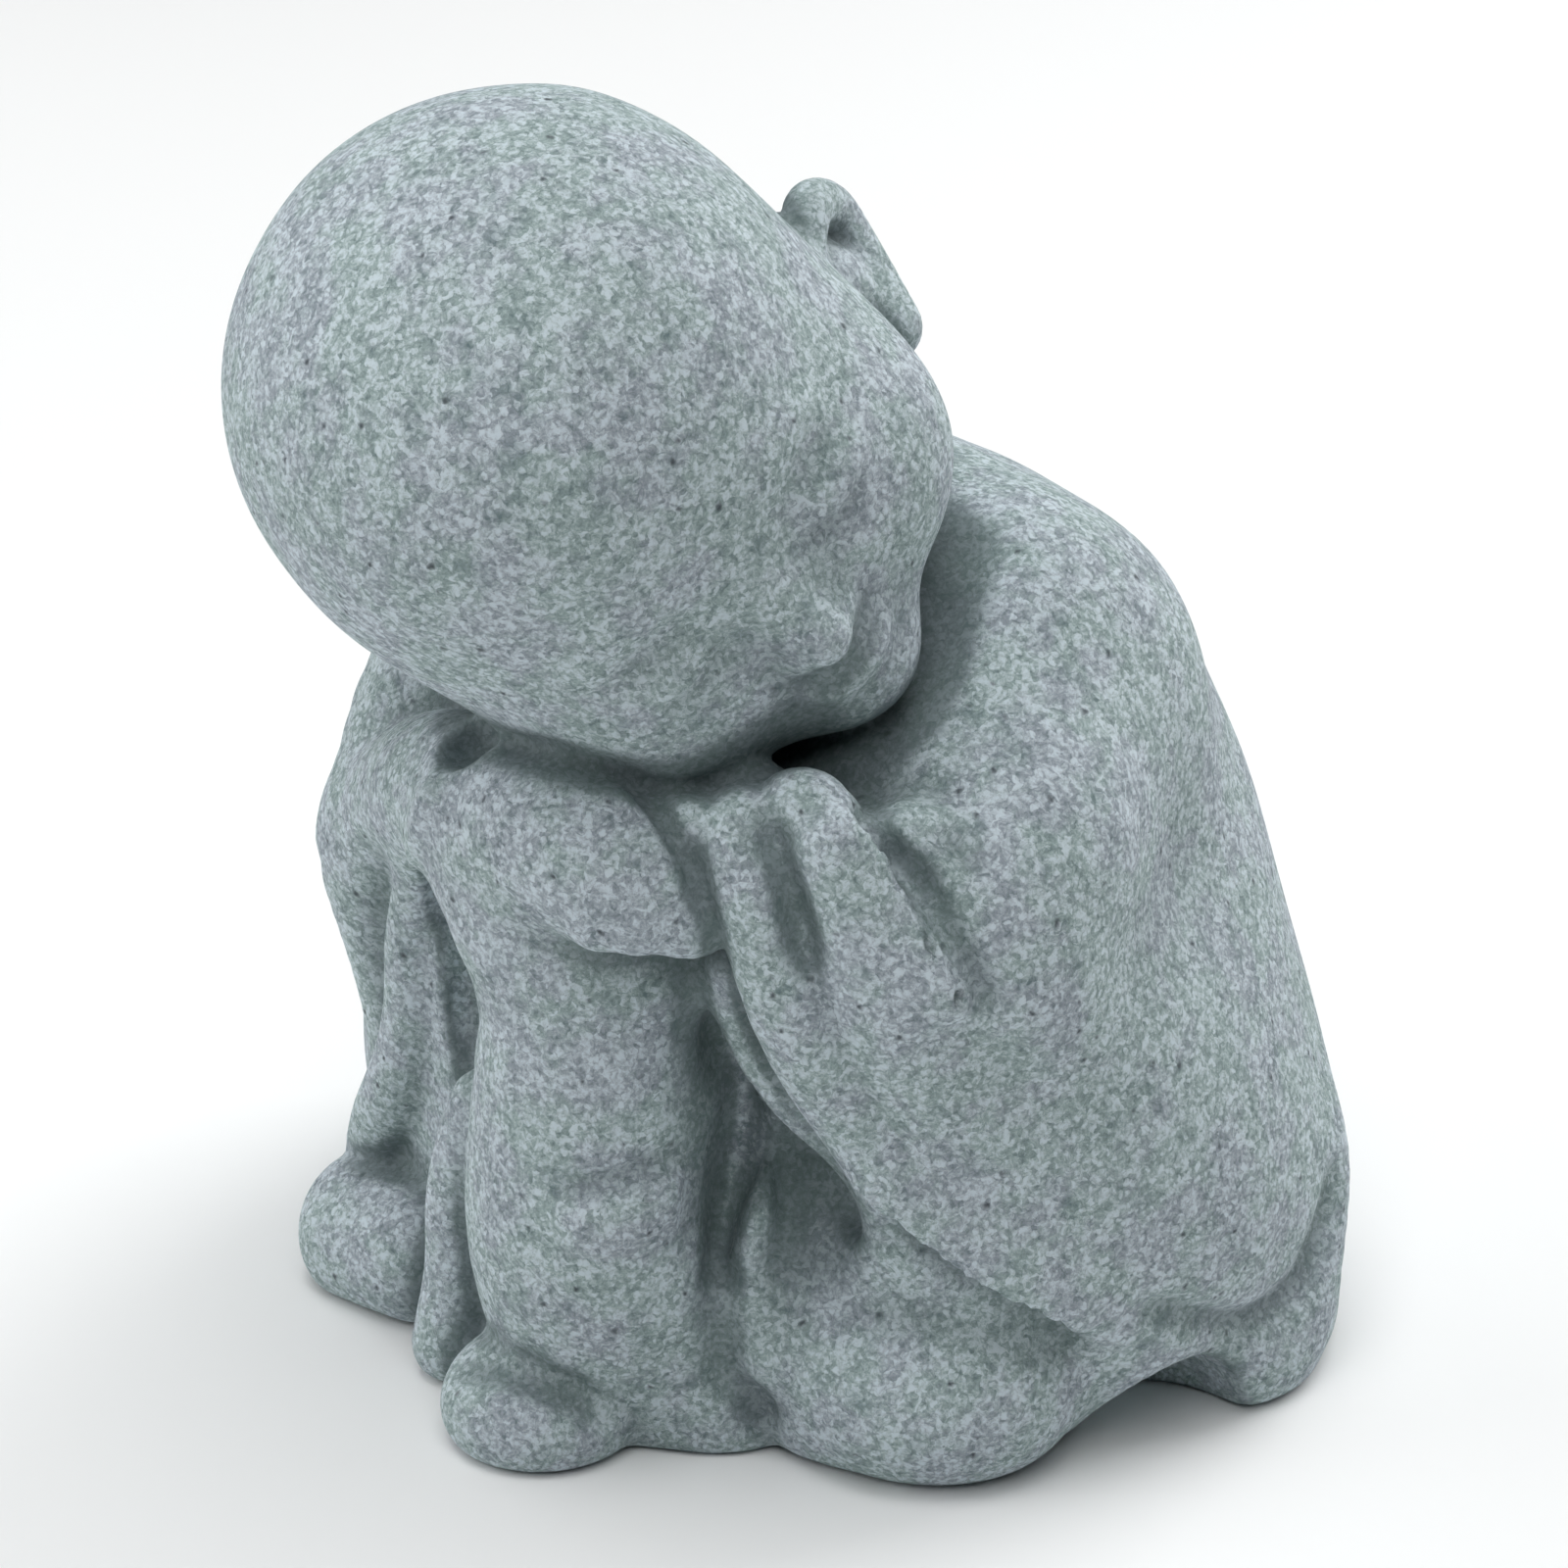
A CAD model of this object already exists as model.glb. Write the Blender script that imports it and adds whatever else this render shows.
import bmesh
import bpy
import numpy as np
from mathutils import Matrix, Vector


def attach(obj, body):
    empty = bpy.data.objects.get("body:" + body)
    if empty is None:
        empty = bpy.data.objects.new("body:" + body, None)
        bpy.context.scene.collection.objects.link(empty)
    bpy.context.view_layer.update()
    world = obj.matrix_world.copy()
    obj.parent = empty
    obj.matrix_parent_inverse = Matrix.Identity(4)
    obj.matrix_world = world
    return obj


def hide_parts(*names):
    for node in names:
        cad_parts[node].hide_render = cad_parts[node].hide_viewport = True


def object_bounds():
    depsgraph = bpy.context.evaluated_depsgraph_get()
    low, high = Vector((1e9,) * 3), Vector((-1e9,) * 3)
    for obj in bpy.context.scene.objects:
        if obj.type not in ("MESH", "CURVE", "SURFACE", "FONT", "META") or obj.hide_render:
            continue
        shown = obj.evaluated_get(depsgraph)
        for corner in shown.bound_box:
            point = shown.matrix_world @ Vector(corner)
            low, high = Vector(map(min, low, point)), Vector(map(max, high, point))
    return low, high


# Little cast-resin monk asleep over a raised knee, finished as grey-green sandstone.
# The sculpting is in millimetres: the figure faces -Y, its left side is towards +X.
# At the end the skin is fitted to the frame's box, in metres.
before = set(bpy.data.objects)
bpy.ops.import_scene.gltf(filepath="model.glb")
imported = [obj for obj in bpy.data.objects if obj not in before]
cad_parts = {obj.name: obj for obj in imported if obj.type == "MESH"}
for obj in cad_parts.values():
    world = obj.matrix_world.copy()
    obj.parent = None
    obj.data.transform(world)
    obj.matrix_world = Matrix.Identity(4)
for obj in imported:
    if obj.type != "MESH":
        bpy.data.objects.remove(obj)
cadLow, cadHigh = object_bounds()
mm = 0.001


# The wax: round masses that melt into each other, then lines tooled into the skin

def ball(at, size, blend, axes=None, cut=False):
    return {
        "centre": np.array(at, float),
        "reach": max(size),
        "size": np.array(size, float),
        "axes": np.eye(3) if axes is None else axes,
        "blend": blend,
        "cut": cut,
    }


def limb(path, blend, flat=None, cut=False):
    # path is (x, y, z, radius); flat is (direction, how many times thinner that way)
    line = smoothPath(path)
    squeeze = np.eye(3)
    if flat:
        way = np.array(flat[0], float) / np.linalg.norm(flat[0])
        squeeze = squeeze + (flat[1] - 1) * np.outer(way, way)
    centre = (line[:, :3].max(0) + line[:, :3].min(0)) / 2
    reach = (np.linalg.norm(line[:, :3] - centre, axis=1) + line[:, 3]).max()
    return {
        "centre": centre,
        "reach": reach,
        "line": line,
        "squeeze": squeeze,
        "blend": blend,
        "cut": cut,
    }


def groove(path, width, depth, fade=0.25):
    return {"path": path, "widths": (width, width), "rise": -depth, "fade": fade}


def ridge(path, width, rise, fade=0.25):
    return {"path": path, "widths": (width, width), "rise": rise, "fade": fade}


def lip(path, soft, sharp, rise, fade=0.25):
    # a cloth edge: it swells over `soft` to the path's left and drops over `sharp` to its right
    return {"path": path, "widths": (soft, sharp), "rise": rise, "fade": fade}


def moved(path, x=0, y=0, z=0):
    return [(a + x, b + y, c + z) for a, b, c in path]


def smoothPath(path, steps=4):
    points = np.array(path, float)
    if len(points) < 3:
        return points
    p = np.vstack([2 * points[0] - points[1], points, 2 * points[-1] - points[-2]])
    line = []
    for a, b, c, d in zip(p[:-3], p[1:-2], p[2:-1], p[3:]):
        for t in np.arange(steps) / steps:
            bend = 2 * a - 5 * b + 4 * c - d
            twist = 3 * b - a - 3 * c + d
            line.append(b + 0.5 * t * (c - a + t * (bend + t * twist)))
    return np.array(line + [points[-1]])


headPlan = {
    "at": (-0.2, -3.6, 61.8),
    "crownWay": (-0.240, -0.705, 0.664),
    "faceWay": (0.909, -0.399, -0.093),
    "skull": (17.1, 19.9, 15.2),
    "lowerSkull": (16.8, 17, 15),
}


class Head:
    # places on an upright head that faces -Y become places on the sleeping one

    def __init__(self, plan):
        up = np.array(plan["crownWay"]) / np.linalg.norm(plan["crownWay"])
        face = np.array(plan["faceWay"]) - up * np.dot(plan["faceWay"], up)
        face /= np.linalg.norm(face)
        self.axes = np.stack([np.cross(up, face), -face, up], 1)
        self.at = np.array(plan["at"])
        self.plan = plan

    def place(self, point):
        return tuple(self.at + self.axes @ np.array(point[:3], float)) + tuple(point[3:])

    def ball(self, at, size, blend, cut=False):
        return ball(self.place(at), size, blend, self.axes, cut)

    def limb(self, path, blend):
        return limb([self.place(p) for p in path], blend)

    def groove(self, path, *rest, **options):
        return groove([self.place(p) for p in path], *rest, **options)

    def ridge(self, path, *rest, **options):
        return ridge([self.place(p) for p in path], *rest, **options)

    def pair(self, make, at, *rest, **options):
        if isinstance(at, list):
            other = [(-p[0], *p[1:]) for p in at]
        else:
            other = (-at[0], *at[1:])
        return [make(at, *rest, **options), make(other, *rest, **options)]


bodyPlan = {
    "seatY": 20.0,
    "robe": (34.9, 25.8, 24.5),
    "back": (28.5, 25.5, 25.5),
    "shoulderX": 14.5,
    "shoulderZ": 45.0,
}


def bodyMasses(plan):
    seat, wide, high = plan["seatY"], plan["shoulderX"], plan["shoulderZ"]
    return [
        ball((0, seat, 11.8), plan["robe"], 6),
        ball((0, seat - 2, 29), plan["back"], 9),
        limb([(-wide, 16, high, 9.8), (0, 18, high + 1, 10.5), (wide, 17, high + 0.3, 10.8)], 8),
        limb([(0, 17, 49, 8.5), (2, 8, 56, 8.5)], 4),
        limb([(16, 15, 44, 9.5), (23, 7, 39, 8), (24, 2, 35, 6.5)], 4),
        limb([(-14.5, 12, 44, 8.6), (-17.7, 6, 38, 7.8), (-18.2, 1, 32, 6.4)], 4),
        ball((19, 8, 27), (11.8, 12, 20), 3),
        ball((20, 13, 18), (14, 14, 16), 5),
        ball((16.2, -4.9, 19.6), (3.8, 4.6, 6.2), 3.5, cut=True),
    ]


hemPlan = {"halfWidth": 30.0, "depth": 21.5, "radius": 4.5, "height": 2.6}


def hemMasses(plan, seat):
    # the rolled edge runs round the back of the seat, and its left corner turns in at the front
    high, radius = plan["height"], plan["radius"]
    arc = [
        (plan["halfWidth"] * np.cos(a), seat + 1 + plan["depth"] * np.sin(a), high, radius)
        for a in np.radians([15, 35, 62, 90, 118, 145, 172])
    ]
    corner = [(26, 6, 13.5, 2.2), (28, 10.5, 9.3, 2.2), (29.2, 15, 5.6, 2.6), (29.3, 19.5, 2.8, 4)]
    rightEnd = [(-27, 13, 2.5, 3)]
    turnUp = [(30.4, 22, 4, 4.3), (31.6, 25.5, 8.5, 3.2), (31, 28, 13.5, 2), (28, 30.5, 18, 1)]
    return [limb(corner + arc + rightEnd, 2), limb(turnUp, 5)]


def legMasses():
    shin = [(5, -6, 37, 6.5), (4, -7, 24, 8), (3.5, -6, 12, 8.8), (2.5, -3.5, 3, 8)]
    heel = [(7.5, -3, 10, 6.5), (8, -1.6, 2.5, 6.9)]
    cuff = [(-5, -8.5, 20, 1.8), (-6.5, -8.5, 13, 2.3), (-7, -8, 7, 2.8), (-7.2, -8.6, 2.3, 3.1)]
    return [
        limb(shin, 2),
        limb(cuff, 1),
        limb(heel, 2),
        ball((1.9, -10.9, 2.4), (6.3, 6.5, 4.6), 0.8),
    ]


def kneeMasses():
    thigh = [(16, 3, 24, 2.4), (15.4, 1.2, 16, 2.6), (15.6, 0, 8, 4)]
    pleat = [
        (13.6, -3.2, 22.5, 1),
        (13.2, -4, 20, 1.5),
        (12.8, -4.5, 16, 1.9),
        (12.6, -4.6, 12, 2.1),
        (13.2, -4.1, 7, 2.4),
    ]
    return [
        ball((19.8, 4.1, 5.5), (10.3, 9.5, 7.7), 3.5),
        ball((15.8, 0.8, 2.5), (5, 5.2, 4), 2),
        limb(thigh, 3),
        limb(pleat, 2.8),
        limb([(-19.8, -2.7, 3.3, 5.4), (-14.8, -3.9, 4, 4.8)], 2),
    ]


def leftSleeveMasses():
    forearm = [(24, 2, 36.5, 5), (19, -3, 39, 4), (14.5, -7, 40.5, 3.3), (11.5, -8.5, 41, 3.2)]
    lining = [
        (14, -6.7, 33.7, 1.8),
        (13.7, -6, 29.5, 1.8),
        (15, -4.9, 26.3, 1.8),
        (16.6, -3.3, 23.3, 1.8),
        (18.3, -1.4, 20.3, 1.7),
        (20, 0.3, 18, 1.8),
        (22, 3, 15, 2.4),
    ]
    rearFold = [(22.5, -1.5, 41.5, 2.6), (25, 0.8, 38.5, 4), (26.3, 3.6, 33, 5), (24.5, 9.5, 22, 6)]
    middleFold = [
        (17.7, -6, 44, 2),
        (19.3, -5.8, 42.8, 2.8),
        (22.1, -2.6, 33, 4.5),
        (23.6, 3.5, 22, 5),
    ]
    frontFold = [
        (15.2, -7.3, 43.2, 1.8),
        (16.5, -8.6, 41.9, 2.4),
        (18.4, -6.8, 32.1, 2.7),
        (21, -2.2, 23, 2.8),
        (23.8, 0.6, 18.3, 2.8),
        (26.8, 3.2, 15.2, 2.4),
        (28.4, 7, 12, 1.6),
    ]
    return [
        limb(forearm, 1.5),
        limb(rearFold, 1.2),
        limb(middleFold, 0.8),
        limb(lining, 0.5),
        limb(frontFold, 0.6),
    ]


def rightArmMasses():
    forearm = [(-17, -0.5, 33, 5.5), (-9, -6, 38, 5), (-1, -10, 40.8, 4.6)]
    hand = [
        (-1, -10.3, 41.3, 4.5),
        (5.5, -11.8, 41.2, 5),
        (9.4, -11.6, 39.9, 4.5),
        (11.2, -10.6, 38.4, 3.1),
    ]
    rearFold = [
        (-18.7, 1.5, 30, 7),
        (-19.1, 1.5, 23.3, 5.3),
        (-18.9, 1.7, 18, 4.4),
        (-20, 2.5, 13.6, 3.6),
    ]
    frontFold = [
        (-5.5, -8.5, 41.5, 2.8),
        (-8.5, -7.4, 37.5, 3.2),
        (-11.4, -5.6, 33.5, 3),
        (-13.6, -4.2, 28, 2.6),
        (-14.4, -3.7, 22, 2.5),
        (-15.8, -3.4, 17, 2.5),
        (-19, -2.4, 12, 2.3),
        (-21, -1.5, 9, 2),
    ]
    fingers = [(9.9, -13.9, 37.7), (12.1, -12.9, 37.6), (13.4, -10.9, 37.2)]
    return [
        limb(forearm, 1.5),
        limb(hand, 1.2),
        *[ball(at, (1.7, 1.7, 1.9), 1) for at in fingers],
        ball((13.4, -9.9, 43.1), (1.4, 1.3, 1.5), 1.5),
        ball((13.6, -9.2, 36.6), (1.6, 1.6, 1.7), 1.5),
        ball((13, -4.2, 43.4), (3, 3, 2.6), 2),
        ball((14, 3.6, 43.8), (5, 4.6, 4.4), 2),
        limb(rearFold, 2),
        limb(frontFold, 0.8),
    ]


def kneeUnderHand():
    return [ball((1, -10.2, 35.4), (5, 4.6, 4.8), 1)]


def hollows():
    acrossLeg = (0.77, 0.64, 0)
    underChin = [
        (16.5, 10, 55, 1),
        (17, 6, 52, 1.4),
        (15.8, 1.5, 48.8, 2.2),
        (13.5, -0.3, 47, 2.6),
        (10.5, 0.2, 46.2, 2.4),
    ]
    underLining = [
        (13.6, -6, 24.6, 0.9),
        (14.2, -5.6, 22.6, 1.5),
        (15.6, -4.2, 19.9, 1.9),
        (17, -2.9, 18.2, 1.4),
        (19, -1.5, 16.4, 0.7),
    ]
    leftOfLeg = [
        (11, -5.2, 27.2, 1.2),
        (12.3, -4.3, 24, 2.2),
        (12.4, -4.5, 20.8, 2.4),
        (11.9, -5.2, 17.5, 2.1),
        (11.7, -5.8, 14, 1.3),
    ]
    rightOfLeg = [
        (-6, -9.5, 36.5, 1.2),
        (-7.6, -7.8, 32.5, 2.8),
        (-7.8, -7, 27, 3.2),
        (-7.6, -7.2, 22, 2.6),
        (-7.4, -7.6, 17, 1.4),
    ]
    return [
        limb(underChin, 4, cut=True),
        limb(underLining, 1.6, cut=True),
        limb(leftOfLeg, 2.2, flat=(acrossLeg, 2.2), cut=True),
        limb(rightOfLeg, 1.5, flat=(acrossLeg, 1.8), cut=True),
        ball((-1.9, -12, 45.2), (2.3, 2.3, 1.9), 1, cut=True),
        ball((30.6, 13.8, -1), (6, 5, 6.4), 1.5, cut=True),
    ]


def headMasses(head):
    ear = [
        (15.5, -1.5, -3.5, 1.3),
        (18.3, 0.5, -2.6, 1.6),
        (19.2, 2.6, -5, 1.6),
        (18.4, 2.6, -8, 1.7),
        (16, -0.3, -11.6, 2.3),
    ]
    nose = [(0, -17, -3.6, 1.3), (0, -18, -6.2, 1.5), (0, -18.6, -8.3, 1.9)]
    return [
        head.ball((0, 0.5, 5.7), head.plan["skull"], 1.5),
        head.ball((0, -0.5, -2.2), head.plan["lowerSkull"], 3),
        head.ball((0, -4.5, -6.5), (13, 12.5, 12.5), 5),
        *head.pair(head.ball, (7.5, -8, -8.5), (7, 7, 7), 5),
        head.ball((0, -13, -15.5), (4, 4, 3.4), 4),
        *head.pair(head.ball, (6.3, -21.5, -3.2), (4.2, 3.6, 3), 3.5, cut=True),
        *head.pair(head.ball, (6.2, -14.6, -4.2), (3.4, 3, 2.3), 1.5),
        head.limb(nose, 2),
        *head.pair(head.ball, (1.7, -17.2, -8.8), (1.2, 1.4, 1.1), 1),
        head.ball((0, -16.6, -12.2), (3, 1.8, 1.5), 1.5),
        head.ball((16.3, 0.8, -7.5), (1.8, 2.6, 5), 1),
        head.limb(ear, 0.6),
    ]


def robeLines():
    hem = [
        (20.4, -5.6, 23.2),
        (21.2, -4.8, 21.7),
        (22.3, -4.2, 20.5),
        (24.4, -3.5, 18.7),
        (26, -2.4, 16.5),
        (28.3, -0.6, 14.7),
        (30.2, 1.6, 12.9),
        (31, 3.8, 11.1),
        (31, 6.3, 9),
    ]
    underHem = [
        (22.2, -3.5, 19),
        (24, -2.6, 17.2),
        (26.2, -1.3, 15),
        (28.5, 0.5, 13.2),
        (30.3, 3, 10.6),
        (30.8, 6, 8),
    ]
    firstFold = [
        (21.1, -7.2, 34.7),
        (20.3, -7.5, 36.5),
        (19.3, -8.1, 38.6),
        (18.5, -8.6, 41),
        (17.9, -8.9, 43.3),
        (17, -8.8, 45.1),
    ]
    besideFirst = [(19.8, -8.6, 36), (18.6, -9, 39.6), (17.6, -9.2, 43)]
    secondFold = [
        (28.8, -2.6, 32.3),
        (28.1, -3.8, 34.9),
        (27.2, -4.4, 36.7),
        (26.3, -4.8, 38.4),
        (25.2, -5.1, 40.1),
        (23.6, -5.2, 41.8),
        (22.3, -6, 43.9),
        (20.6, -6, 45.6),
    ]
    besideSecond = moved(secondFold, x=0.8, y=0.65)
    thirdFold = [(28.4, -0.9, 40.9), (27.7, -1.6, 41.9), (26.2, -1.9, 43), (24.4, -1.7, 43.5)]
    shinFold = [
        (12, -7.6, 20),
        (11.9, -9.7, 20),
        (11.1, -11.4, 19.5),
        (9.6, -13.2, 18.9),
        (7.8, -14.6, 18.4),
        (5.5, -15.1, 18),
    ]
    wristEdge = [(-4.5, -11.5, 36.5), (-3, -13.4, 39.5), (-2, -14, 42.5), (-2.2, -12.8, 45)]
    handEdge = [
        (14.2, -10, 38.8),
        (13.4, -10.4, 40),
        (12.5, -10.9, 41.8),
        (11.5, -11.3, 43.7),
        (10, -11.3, 45.8),
    ]
    toes = [
        (-1.9, -14.6, 4.4),
        (1, -15, 5.6),
        (4, -14.5, 6),
        (7, -13.9, 5.6),
        (8.8, -12.7, 3.8),
        (9.7, -12, 2),
    ]
    underHead = [
        (0.8, -12.2, 45.6),
        (5.7, -13.3, 46.6),
        (7.9, -12.5, 46.1),
        (9.8, -11.2, 45.5),
        (11, -9.2, 44.6),
    ]
    rim = [
        (33, 27.3, 14.8),
        (33.3, 26.5, 13.2),
        (33.6, 25.7, 11.5),
        (33.8, 23.9, 9.6),
        (33.8, 21.9, 7.7),
        (33.4, 19.3, 7.3),
        (33.2, 16.5, 7.7),
        (33.1, 13, 9.2),
        (32.8, 9.7, 11),
        (31.9, 7.1, 10.5),
    ]
    legSide = [
        (12, -7.9, 32),
        (12.3, -7.8, 29),
        (12.1, -7.2, 26),
        (12, -6.9, 22),
        (12.2, -7.7, 18.9),
        (12.1, -8.2, 16),
        (11.5, -7.8, 12.2),
    ]
    besideLeg = [
        (12.2, -5, 13),
        (12.4, -5.4, 11),
        (12.7, -5.5, 9.3),
        (12.8, -5.3, 7.3),
        (13.3, -5.2, 5.3),
        (14, -5, 3.6),
        (14.2, -4.7, 1.8),
    ]
    acrossBack = [(-16, 36, 44), (-9, 42, 35), (3, 44, 25), (15, 43, 17), (26, 38, 11)]
    downBack = [(14, 38, 44), (8, 42.5, 36), (2, 44, 29)]
    lowBack = [(-24, 34, 26), (-17, 40.5, 17), (-6, 43.5, 10)]
    sleeveValley = [
        (-13, -8, 36),
        (-14, -7.7, 33),
        (-16.6, -5.3, 27.6),
        (-18.2, -3.9, 22),
        (-18.5, -3, 17),
    ]
    return [
        lip(hem, 3, 0.6, 1.5, 0.2),
        groove(underHem, 1, 1.6, 0.15),
        groove(firstFold, 1.4, 1.3),
        ridge(besideFirst, 1.6, 0.4, 0.4),
        lip(secondFold, 4, 0.6, 1.4, 0.15),
        groove(besideSecond, 0.8, 1.6, 0.12),
        groove(thirdFold, 0.8, 1, 0.3),
        lip(shinFold, 3.4, 0.8, 1.4, 0.35),
        groove(moved(shinFold, z=1.2), 0.9, 1, 0.35),
        groove(toes, 0.9, 1.6),
        groove(underHead, 0.8, 0.9),
        lip(wristEdge, 2.5, 0.5, 0.7),
        groove(rim, 0.9, 1.5, 0.15),
        lip(handEdge, 2.2, 0.6, 0.5, 0.2),
        groove(handEdge, 0.65, 0.9),
        groove(sleeveValley, 1.6, 0.8, 0.3),
        groove(legSide, 3, 0.7, 0.2),
        groove(besideLeg, 1.1, 1.5, 0.12),
        lip(acrossBack, 4, 1.4, 0.8, 0.4),
        groove(downBack, 1.8, 0.6, 0.4),
        groove(lowBack, 2, 0.6, 0.4),
    ]


def faceLines(head):
    lid = [(3.4, -17.6, -4.2), (5, -18.1, -5.1), (6.8, -17.6, -5.3), (8.9, -16, -4.5)]
    brow = [(2.6, -18, -0.6), (5.4, -18.2, 0.9), (8.6, -16.6, 0.7), (11, -14.5, -0.8)]
    mouth = [
        (-3.1, -16.8, -11.7),
        (-1.4, -18, -12.1),
        (0, -18.4, -11.9),
        (1.4, -18, -12.1),
        (3.1, -16.8, -11.7),
    ]
    return [
        *head.pair(head.groove, lid, 0.42, 0.5),
        *head.pair(head.ridge, brow, 1.3, 0.35),
        head.groove(mouth, 0.45, 0.55),
    ]


# How far a point is from the wax, and how points are drawn onto it

figure = {
    "name": "sleeping_monk_cast",
    "box": ((-44, -28, -3), (44, 54, 88)),
    "far": 50.0,  # the gap of a point with no wax near it
    "margin": 4.0,  # a mass counts this far outside its reach
    "footEdge": 0.8,
    "slopeStep": 0.05,
    "leastSteep": 1e-2,
    "longestMove": 2.0,
    "lineSteps": 6,
    "lineRounds": 4,
    "lineSpread": 2.5,  # widths to each side
    "uneven": 0.07,
    "unevenSize": 3.0,
    "step": 0.55,
    "quickStep": 0.62,
    "startCell": 4,  # steps across
    "nearCells": 1.7,
    "keyBase": 1024,  # more than the cells along any side
    "smoothing": 1,
    "creaseReach": (1.1, 3),
    "sunkDepth": 1.2,
    "sunkShare": 0.5,
}


def ballGap(points, mass):
    local = (points - mass["centre"]) @ mass["axes"]
    near = np.linalg.norm(local / mass["size"], axis=1)
    slope = np.linalg.norm(local / mass["size"] ** 2, axis=1) + 1e-9
    return near * (near - 1) / slope


def limbGap(points, mass):
    line = mass["line"]
    best = np.full(len(points), np.inf)
    for a, b in zip(line[:-1], line[1:]):
        along, offset = b[:3] - a[:3], points - a[:3]
        t = np.clip(offset @ along / (along @ along + 1e-12), 0, 1)
        away = (offset - t[:, None] * along) @ mass["squeeze"]
        best = np.minimum(best, np.linalg.norm(away, axis=1) - (a[3] + t * (b[3] - a[3])))
    return best


def smoothMin(a, b, blend):
    h = np.maximum(blend - np.abs(a - b), 0) / blend
    return np.minimum(a, b) - h * h * blend / 4


def noWax(points):
    return np.full(len(points), figure["far"])


def meltedGap(points, masses, d):
    for mass in masses:
        reach = mass["reach"] + mass["blend"] + figure["margin"]
        near = np.nonzero(((points - mass["centre"]) ** 2).sum(1) < reach**2)[0]
        gap = (limbGap if "line" in mass else ballGap)(points[near], mass)
        if mass["cut"]:
            d[near] = -smoothMin(-d[near], gap, mass["blend"])
        else:
            d[near] = smoothMin(d[near], gap, mass["blend"])
    return d


def waxGap(points, groups):
    d = noWax(points)
    for masses, blend in groups:
        if blend:
            d = smoothMin(d, meltedGap(points, masses, noWax(points)), blend)
        else:  # hollows bite into all that is there so far
            d = meltedGap(points, masses, d)
    return -smoothMin(-d, points[:, 2], figure["footEdge"])  # everything stands on Z = 0


def slopeAt(points, gapFrom, d):
    step = figure["slopeStep"]
    return np.stack([gapFrom(points + way * step) - d for way in np.eye(3)], 1) / step


def settled(points, gapFrom, rounds, glides=0):
    # each round finds the slope afresh; the glides after it go on along the same slope
    for _ in range(rounds):
        d = gapFrom(points)
        slope = slopeAt(points, gapFrom, d)
        steep = (slope**2).sum(1) + figure["leastSteep"]
        for i in range(glides + 1):
            d = gapFrom(points) if i else d
            move = -(d / steep)[:, None] * slope
            length = np.linalg.norm(move, axis=1) + 1e-9
            points = points + move * np.minimum(1, figure["longestMove"] / length)[:, None]
    return points


def laidLine(line, groups):
    # the line drawn down onto the skin, with the way to its left at each point
    def gapFrom(points):
        return waxGap(points, groups)

    path = settled(smoothPath(line["path"], figure["lineSteps"]), gapFrom, figure["lineRounds"])
    outward = slopeAt(path, gapFrom, gapFrom(path))
    ahead = np.gradient(path, axis=0)
    left = np.cross(outward, ahead)
    left /= np.linalg.norm(left, axis=1)[:, None] + 1e-9
    run = np.concatenate([[0], np.cumsum(np.linalg.norm(np.diff(path, axis=0), axis=1))])
    return {**line, "path": path, "left": left, "run": run / run[-1]}


def lineHeight(points, line):
    best = np.full(len(points), np.inf)
    side = np.zeros(len(points))
    along = np.zeros(len(points))
    path, left, run = line["path"], line["left"], line["run"]
    for i in range(len(path) - 1):
        step, offset = path[i + 1] - path[i], points - path[i]
        t = np.clip(offset @ step / (step @ step + 1e-12), 0, 1)
        away = offset - t[:, None] * step
        gap = np.linalg.norm(away, axis=1)
        closer = gap < best
        best[closer] = gap[closer]
        side[closer] = (away @ (left[i] + left[i + 1]))[closer]
        along[closer] = (run[i] + t * (run[i + 1] - run[i]))[closer]
    width = np.where(side > 0, *line["widths"])
    ends = np.clip(np.minimum(along, 1 - along) / line["fade"], 0, 1)
    return line["rise"] * ends * ends * (3 - 2 * ends) * np.exp(-((best / width) ** 2))


def tooledSkin(groups, lines):
    laid = [laidLine(line, groups) for line in lines]

    def gapFrom(points):
        d = waxGap(points, groups) + handWork(points)
        for line in laid:
            spread = figure["lineSpread"] * max(line["widths"])
            low, high = line["path"].min(0) - spread, line["path"].max(0) + spread
            near = np.nonzero(((points > low) & (points < high)).all(1))[0]
            d[near] -= lineHeight(points[near], line)
        return d

    return gapFrom


def handWork(points):
    # soft unevenness left by a hand-made master
    x, y, z = points.T / figure["unevenSize"]
    waves = np.sin(x + 1.7 * np.sin(y)) + np.sin(1.3 * y - 0.9 * z + 2)
    waves = waves + np.sin(1.1 * z + np.sin(1.4 * x + 1))
    return figure["uneven"] * waves * np.clip(points[:, 2] / 3, 0, 1)


corners = np.array([(x, y, z) for x in (0, 1) for y in (0, 1) for z in (0, 1)])
cellEdges = [
    (a, b) for a in range(8) for b in range(a, 8) if abs(corners[a] - corners[b]).sum() == 1
]


def cellKey(cells):
    x, y, z = np.moveaxis(cells, -1, 0)
    return (x * figure["keyBase"] + y) * figure["keyBase"] + z


def cellsNearSkin(gapFrom, low, high, step):
    # big cells first; the ones that the skin may cross are halved until they are one step wide
    size = figure["startCell"]
    counts = np.ceil((high - low) / (step * size)).astype(int)
    grid = np.meshgrid(*[np.arange(n) for n in counts], indexing="ij")
    cells = np.stack(grid, -1).reshape(-1, 3)
    while size > 1:
        gap = np.abs(gapFrom(low + (cells + 0.5) * size * step))
        near = gap < figure["nearCells"] * size * step
        cells = (2 * cells[near][:, None] + corners).reshape(-1, 3)
        size //= 2
    return cells


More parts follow.
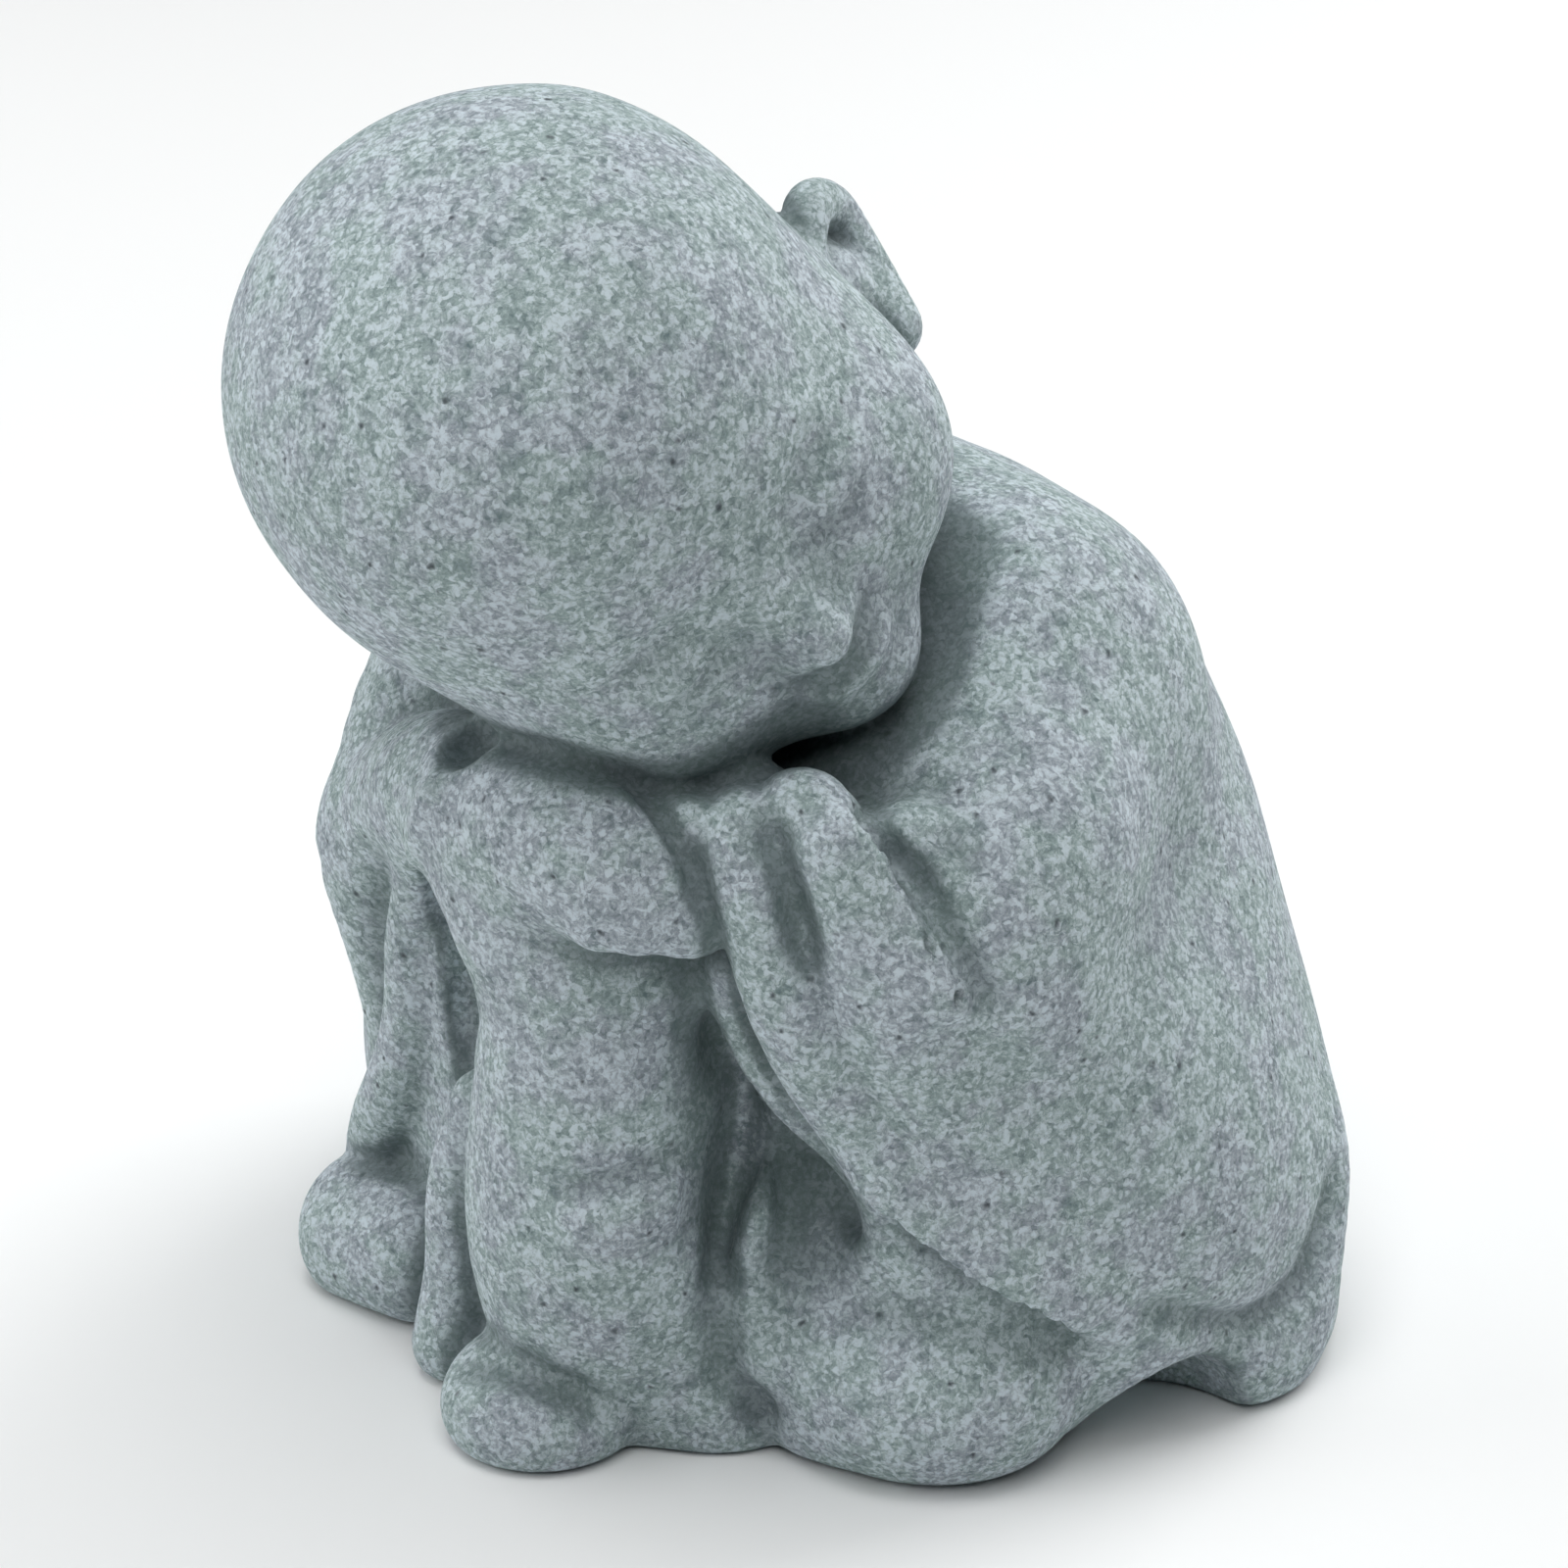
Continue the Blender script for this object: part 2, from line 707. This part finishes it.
def castSkin(gapFrom, step):
    # one point in each cell that the skin crosses, and one face round each edge that it crosses
    low, high = np.array(figure["box"], float)
    cells = cellsNearSkin(gapFrom, low, high, step)
    around = cells[:, None] + corners
    first, index = np.unique(cellKey(around), return_index=True, return_inverse=True)[1:]
    d = gapFrom(low + around.reshape(-1, 3)[first] * step)[index.reshape(-1, 8)]
    inside = d < 0
    crossed = inside.any(1) & ~inside.all(1)
    cells, d, inside = cells[crossed], d[crossed], inside[crossed]
    total, count = np.zeros((len(cells), 3)), np.zeros((len(cells), 1))
    for a, b in cellEdges:
        cut = inside[:, a] != inside[:, b]
        t = (d[cut, a] / (d[cut, a] - d[cut, b]))[:, None]
        total[cut] += corners[a] + t * (corners[b] - corners[a])
        count[cut] += 1
    points = low + (cells + total / count) * step

    order = np.argsort(cellKey(cells))
    sortedKeys = cellKey(cells)[order]
    faces = []
    for axis, far in enumerate((4, 2, 1)):
        u, v = np.eye(3, dtype=int)[[(axis + 1) % 3, (axis + 2) % 3]]
        cut = inside[:, 0] != inside[:, far]
        ring = np.stack([cells[cut], cells[cut] - u, cells[cut] - u - v, cells[cut] - v], 1)
        face = order[np.searchsorted(sortedKeys, cellKey(ring))]
        inwards = ~inside[cut, 0]
        face[inwards] = face[inwards, ::-1]
        faces.append(face)
    mesh = bpy.data.meshes.new(figure["name"])
    mesh.from_pydata(points.tolist(), [], np.concatenate(faces).tolist())
    piece = bpy.data.objects.new(figure["name"], mesh)
    bpy.context.scene.collection.objects.link(piece)
    return piece


def applyModifier(piece, kind, **settings):
    mod = piece.modifiers.new(kind.lower(), kind)
    for name, value in settings.items():
        setattr(mod, name, value)
    bpy.context.view_layer.update()
    evaluated = piece.evaluated_get(bpy.context.evaluated_depsgraph_get())
    mesh = bpy.data.meshes.new_from_object(evaluated)
    piece.modifiers.clear()
    piece.data = mesh


def getVectors(items, name):
    flat = np.empty(len(items) * 3)
    items.foreach_get(name, flat)
    return flat.reshape(-1, 3)


def setPoints(mesh, points):
    mesh.vertices.foreach_set("co", points.ravel())
    mesh.update()


def keepLargestShell(piece):
    bm = bmesh.new()
    bm.from_mesh(piece.data)
    left = set(bm.verts)
    shells = []
    while left:
        queue = [left.pop()]
        shell = set(queue)
        while queue:
            for edge in queue.pop().link_edges:
                for vert in edge.verts:
                    if vert in left:
                        left.discard(vert)
                        shell.add(vert)
                        queue.append(vert)
        shells.append(shell)
    shells.sort(key=len)
    for shell in shells[:-1]:
        bmesh.ops.delete(bm, geom=list(shell), context="VERTS")
    bm.to_mesh(piece.data)
    bm.free()


def fitToBox(points, low, high):
    low, high = np.array(low), np.array(high)
    ownLow, ownHigh = points.min(0), points.max(0)
    return low + (points - ownLow) * (high - low) / (ownHigh - ownLow)


def creaseDepth(mesh, gapFrom, groups):
    # 0 in the open, 1 deep in a fold: how much closer the skin is than over flat ground,
    # or how far a tooled line has sunk below the wax
    points = getVectors(mesh.vertices, "co")
    normals = getVectors(mesh.vertex_normals, "vector")
    depth = np.zeros(len(points))
    reaches = figure["creaseReach"]
    for reach in reaches:
        depth += np.clip(1 - gapFrom(points + normals * reach) / reach, 0, 1) / len(reaches)
    sunk = np.clip(-waxGap(points, groups) / figure["sunkDepth"], 0, 1)
    return np.maximum(depth, sunk * figure["sunkShare"])


def sculptFigure():
    head = Head(headPlan)
    groups = [  # each group melts together, then joins what is before it over its own blend
        (bodyMasses(bodyPlan), 1),
        (hemMasses(hemPlan, bodyPlan["seatY"]), 2),
        (kneeMasses(), 1.5),
        (legMasses(), 0.8),
        (leftSleeveMasses(), 2),
        (rightArmMasses(), 0.8),
        (kneeUnderHand(), 5),
        (hollows(), None),
        (headMasses(head), 0.7),
    ]
    skin = tooledSkin(groups, robeLines() + faceLines(head))
    piece = castSkin(skin, figure["step"])
    keepLargestShell(piece)
    setPoints(piece.data, settled(getVectors(piece.data.vertices, "co"), skin, 1, 1))
    applyModifier(piece, "SMOOTH", factor=0.5, iterations=figure["smoothing"])
    print("skin cast:", len(piece.data.vertices), "points")

    crease = piece.data.attributes.new("crease", "FLOAT", "POINT")
    crease.data.foreach_set("value", creaseDepth(piece.data, skin, groups).astype(np.float32))
    setPoints(piece.data, fitToBox(getVectors(piece.data.vertices, "co"), cadLow, cadHigh))
    piece.data.polygons.foreach_set("use_smooth", [True] * len(piece.data.polygons))
    return piece


# Shader maths in plain Python: a Wire is one socket, and Paint makes the nodes

class Wire:
    def __init__(self, paint, socket):
        self.paint = paint
        self.socket = socket

    def maths(self, operation, first, second):
        return self.paint.node("ShaderNodeMath", {"operation": operation}, {0: first, 1: second})

    def __add__(self, other):
        return self.maths("ADD", self, other)

    def __sub__(self, other):
        return self.maths("SUBTRACT", self, other)

    def __rsub__(self, other):
        return self.maths("SUBTRACT", other, self)

    def __mul__(self, other):
        return self.maths("MULTIPLY", self, other)


class Paint:
    def __init__(self, name):
        self.material = bpy.data.materials.new(name)
        self.material.use_nodes = True
        self.tree = self.material.node_tree
        self.shader = self.tree.nodes["Principled BSDF"]

    def node(self, kind, settings=None, values=None, output=0):
        made = self.tree.nodes.new(kind)
        for name, value in (settings or {}).items():
            setattr(made, name, value)
        for name, value in (values or {}).items():
            self.feed(made.inputs[name], value)
        return Wire(self, made.outputs[output])

    def feed(self, socket, value):
        if isinstance(value, Wire):
            self.tree.links.new(value.socket, socket)
        else:
            socket.default_value = value

    def remap(self, value, low, high):
        values = {"Value": value, "From Min": low, "From Max": high}
        return self.node("ShaderNodeMapRange", {"interpolation_type": "SMOOTHSTEP"}, values)

    def mix(self, factor, first, second):
        # the colour sockets of a mix are 6 and 7 going in and 2 coming out
        values = {0: factor, 6: first, 7: second}
        return self.node("ShaderNodeMix", {"data_type": "RGBA"}, values, output=2)

    def noise(self, vector, size, detail, roughness, output=0):
        values = {"Vector": vector, "Scale": 1 / size, "Detail": detail, "Roughness": roughness}
        return self.node("ShaderNodeTexNoise", None, values, output)

    def cells(self, vector, size, output):
        values = {"Vector": vector, "Scale": 1 / size}
        return self.node("ShaderNodeTexVoronoi", None, values, output)

    def vectorMaths(self, operation, values):
        return self.node("ShaderNodeVectorMath", {"operation": operation}, values)


stonePlan = {
    "slot": "sandstone_resin",
    "green": (0.280, 0.358, 0.352),
    "mauve": (0.304, 0.344, 0.384),
    "pale": (0.60, 0.69, 0.74),
    "dark": (0.105, 0.155, 0.165),
    "crease": (0.100, 0.138, 0.140),
    "speck": (0.045, 0.055, 0.065),
    # noises: size in mm, detail, roughness
    "warpNoise": (0.7, 2.0, 0.5),
    "patchNoise": (5.0, 4.0, 0.65),
    "cloudNoise": (1.6, 3.0, 0.6),
    "murkNoise": (2.8, 4.0, 0.7),
    "warp": 0.32,  # mm
    # grains: how much each thing adds to their tone
    "grainSize": 0.37,  # mm
    "fineDetail": 5.0,
    "fineRoughness": 0.78,
    "grainWeight": 0.28,
    "fineWeight": 1.3,
    "edgeWeight": 0.16,
    "toneDrop": 0.04,
    "paleCloud": 0.4,
    "darkCloud": 0.35,
    # where each tint sets in and is full, and how much of it shows
    "mauveFrom": (0.42, 0.6),
    "paleFrom": (0.76, 1.10),
    "paleShare": 0.8,
    "darkFrom": (0.80, 0.50),
    "darkShare": 0.75,
    "murkFrom": (0.54, 0.72),
    "murkShare": 0.5,
    "creaseFrom": (0.03, 0.42),
    "creaseShare": 0.75,
    # blotches and specks: spacing and radius in mm
    "blotchSpacing": 5.5,
    "blotchRadius": 0.55,
    "blotchShare": 0.55,
    "speckSpacing": 2.3,
    "speckRadius": 0.32,
    "speckShare": 0.9,
    "spotCore": 0.02,  # the full-strength middle of a spot, in spacings
    "bumpGrain": 0.25,
    "bumpEdge": 0.2,
    "bumpStrength": 0.6,
    "bumpHeight": 0.10,  # mm
    "roughness": 0.9,
    "grainShine": 0.2,
    "specular": 0.35,
}


def sandstoneResin(plan):
    paint = Paint(plan["slot"])

    def tinted(colour, factor, share, tint):
        return paint.mix(factor * plan[share], colour, (*plan[tint], 1))

    def spots(kind):
        spacing = plan[kind + "Spacing"]
        gap = paint.cells(bent, spacing, "Distance")
        return paint.remap(gap, plan[kind + "Radius"] / spacing, plan["spotCore"])

    place = paint.node("ShaderNodeTexCoord", output="Object")
    place = paint.vectorMaths("SCALE", {0: place, "Scale": 1 / mm})
    bend = paint.noise(place, *plan["warpNoise"], output="Color")
    bend = paint.vectorMaths("SUBTRACT", {0: bend, 1: (0.5, 0.5, 0.5)})
    bend = paint.vectorMaths("SCALE", {0: bend, "Scale": 2 * plan["warp"]})
    bent = paint.vectorMaths("ADD", {0: place, 1: bend})

    # grains: one tone for each, broken up by a finer noise
    grainTone = paint.cells(bent, plan["grainSize"], "Color")
    grainTone = paint.node("ShaderNodeSeparateColor", None, {"Color": grainTone}, "Red")
    grainEdge = paint.cells(bent, plan["grainSize"], "Distance")
    fine = paint.noise(bent, plan["grainSize"], plan["fineDetail"], plan["fineRoughness"])
    tone = grainTone * plan["grainWeight"] + fine * plan["fineWeight"]
    tone = tone - grainEdge * plan["edgeWeight"] - plan["toneDrop"]
    patch = paint.noise(place, *plan["patchNoise"])
    cloud = paint.noise(place, *plan["cloudNoise"])
    mauve = paint.remap(patch, *plan["mauveFrom"])
    colour = paint.mix(mauve, (*plan["green"], 1), (*plan["mauve"], 1))
    pale = paint.remap(tone + cloud * plan["paleCloud"], *plan["paleFrom"])
    dark = paint.remap(tone + cloud * plan["darkCloud"], *plan["darkFrom"])
    colour = tinted(colour, pale, "paleShare", "pale")
    colour = tinted(colour, dark, "darkShare", "dark")
    murk = paint.remap(paint.noise(bent, *plan["murkNoise"]), *plan["murkFrom"])
    colour = tinted(colour, murk, "murkShare", "dark")

    # a few soft dark blotches and sparse black specks
    colour = tinted(colour, spots("blotch"), "blotchShare", "dark")
    colour = tinted(colour, spots("speck"), "speckShare", "speck")

    # grime deep in the folds
    crease = paint.node("ShaderNodeAttribute", {"attribute_name": "crease"}, output="Fac")
    colour = tinted(colour, paint.remap(crease, *plan["creaseFrom"]), "creaseShare", "crease")

    height = fine + grainTone * plan["bumpGrain"] - grainEdge * plan["bumpEdge"]
    bump = paint.node("ShaderNodeBump", None, {
        "Strength": plan["bumpStrength"],
        "Distance": plan["bumpHeight"] * mm,
        "Height": height,
    })
    roughness = plan["roughness"] - grainTone * plan["grainShine"]
    paint.feed(paint.shader.inputs["Base Color"], colour)
    paint.feed(paint.shader.inputs["Roughness"], roughness)
    paint.feed(paint.shader.inputs["Normal"], bump)
    paint.feed(paint.shader.inputs["Specular IOR Level"], plan["specular"])
    return paint.material


monk = sculptFigure()
monk.data.materials.clear()
monk.data.materials.append(sandstoneResin(stonePlan))
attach(monk, "root")
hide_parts("sleeping_monk")
print("monk finished")


roomPlan = {
    "segments": 96,
    "floorRadius": 4.0,
    "floorColour": (0.86, 0.87, 0.87),
    "floorRoughness": 0.9,
    "wallRadius": 0.8,
    "wallHeight": 2.0,
    "wallSink": 0.01,  # how far it goes below the floor
    "wallGlow": (0.93, 0.94, 0.94),
    "skyStrength": 0.02,
    "lightSize": 0.6,
    "lights": {  # place in metres, power in watts
        "over": ((0.03, -0.04, 0.94), 4.8),
        "front": ((0.32, -0.38, 0.74), 2.6),
        "left": ((-0.58, -0.55, 0.29), 2.8),
        "backLeft": ((-0.78, 0.0, 0.39), 1.6),
        "backRight": ((0.14, 0.77, 0.39), 5.2),
    },
}


def roomObject(name, bm, high, paint):
    mesh = bpy.data.meshes.new(name)
    bm.to_mesh(mesh)
    bm.free()
    mesh.materials.append(paint.material)
    made = bpy.data.objects.new(name, mesh)
    made.location.z = high
    bpy.context.scene.collection.objects.link(made)
    return made


def plainFloor(plan):
    bm = bmesh.new()
    radius = plan["floorRadius"]
    bmesh.ops.create_circle(bm, cap_ends=True, segments=plan["segments"], radius=radius)
    paint = Paint("pale_floor")
    paint.feed(paint.shader.inputs["Base Color"], (*plan["floorColour"], 1))
    paint.feed(paint.shader.inputs["Roughness"], plan["floorRoughness"])
    return roomObject("floor", bm, cadLow.z, paint)


def paleWall(plan):
    # a pale cloth all round the table: it hides the dim far floor, and lights nothing
    bm = bmesh.new()
    size, high = plan["wallRadius"], plan["wallHeight"]
    bmesh.ops.create_cone(bm, segments=plan["segments"], radius1=size, radius2=size, depth=high)
    paint = Paint("pale_cloth")
    paint.feed(paint.shader.inputs["Base Color"], (0, 0, 0, 1))
    paint.feed(paint.shader.inputs["Emission Color"], (*plan["wallGlow"], 1))
    paint.feed(paint.shader.inputs["Emission Strength"], 1.0)
    wall = roomObject("wall", bm, cadLow.z + high / 2 - plan["wallSink"], paint)
    for reach in ("diffuse", "glossy", "transmission", "shadow"):
        setattr(wall, "visible_" + reach, False)
    return wall


def softLight(name, at, aim, power, size):
    lamp = bpy.data.lights.new(name, "AREA")
    lamp.energy = power
    lamp.size = size
    holder = bpy.data.objects.new(name, lamp)
    holder.location = at
    holder.visible_camera = False
    holder.rotation_euler = (Vector(aim) - Vector(at)).to_track_quat("-Z", "Y").to_euler()
    bpy.context.scene.collection.objects.link(holder)


def paleSky(strength):
    world = bpy.data.worlds.new("sky")
    world.use_nodes = True
    background = world.node_tree.nodes["Background"]
    background.inputs["Color"].default_value = (1, 1, 1, 1)
    background.inputs["Strength"].default_value = strength
    bpy.context.scene.world = world


plainFloor(roomPlan)
paleWall(roomPlan)
middle = (cadLow + cadHigh) / 2
for name, (at, power) in roomPlan["lights"].items():
    softLight(name, at, middle, power, roomPlan["lightSize"])
paleSky(roomPlan["skyStrength"])
bpy.context.scene.view_settings.view_transform = "Standard"


cameraPlan = {
    "azimuth": 40.0,
    "elevation": 22.0,
    "lens": 110.0,
    "distance": 0.2796,
    "clipStart": 0.01,
    "aim": (0.01172, -0.01131, 0.042),
}


def makeCamera(plan):
    a, e = np.radians(plan["azimuth"]), np.radians(plan["elevation"])
    back = Vector((np.sin(a) * np.cos(e), -np.cos(a) * np.cos(e), np.sin(e)))
    lens = bpy.data.cameras.new("camera")
    lens.lens = plan["lens"]
    lens.clip_start = plan["clipStart"]
    holder = bpy.data.objects.new("camera", lens)
    holder.location = Vector(plan["aim"]) + back * plan["distance"]
    holder.rotation_euler = (-back).to_track_quat("-Z", "Y").to_euler()
    bpy.context.scene.collection.objects.link(holder)
    bpy.context.scene.camera = holder


makeCamera(cameraPlan)
print("size written")
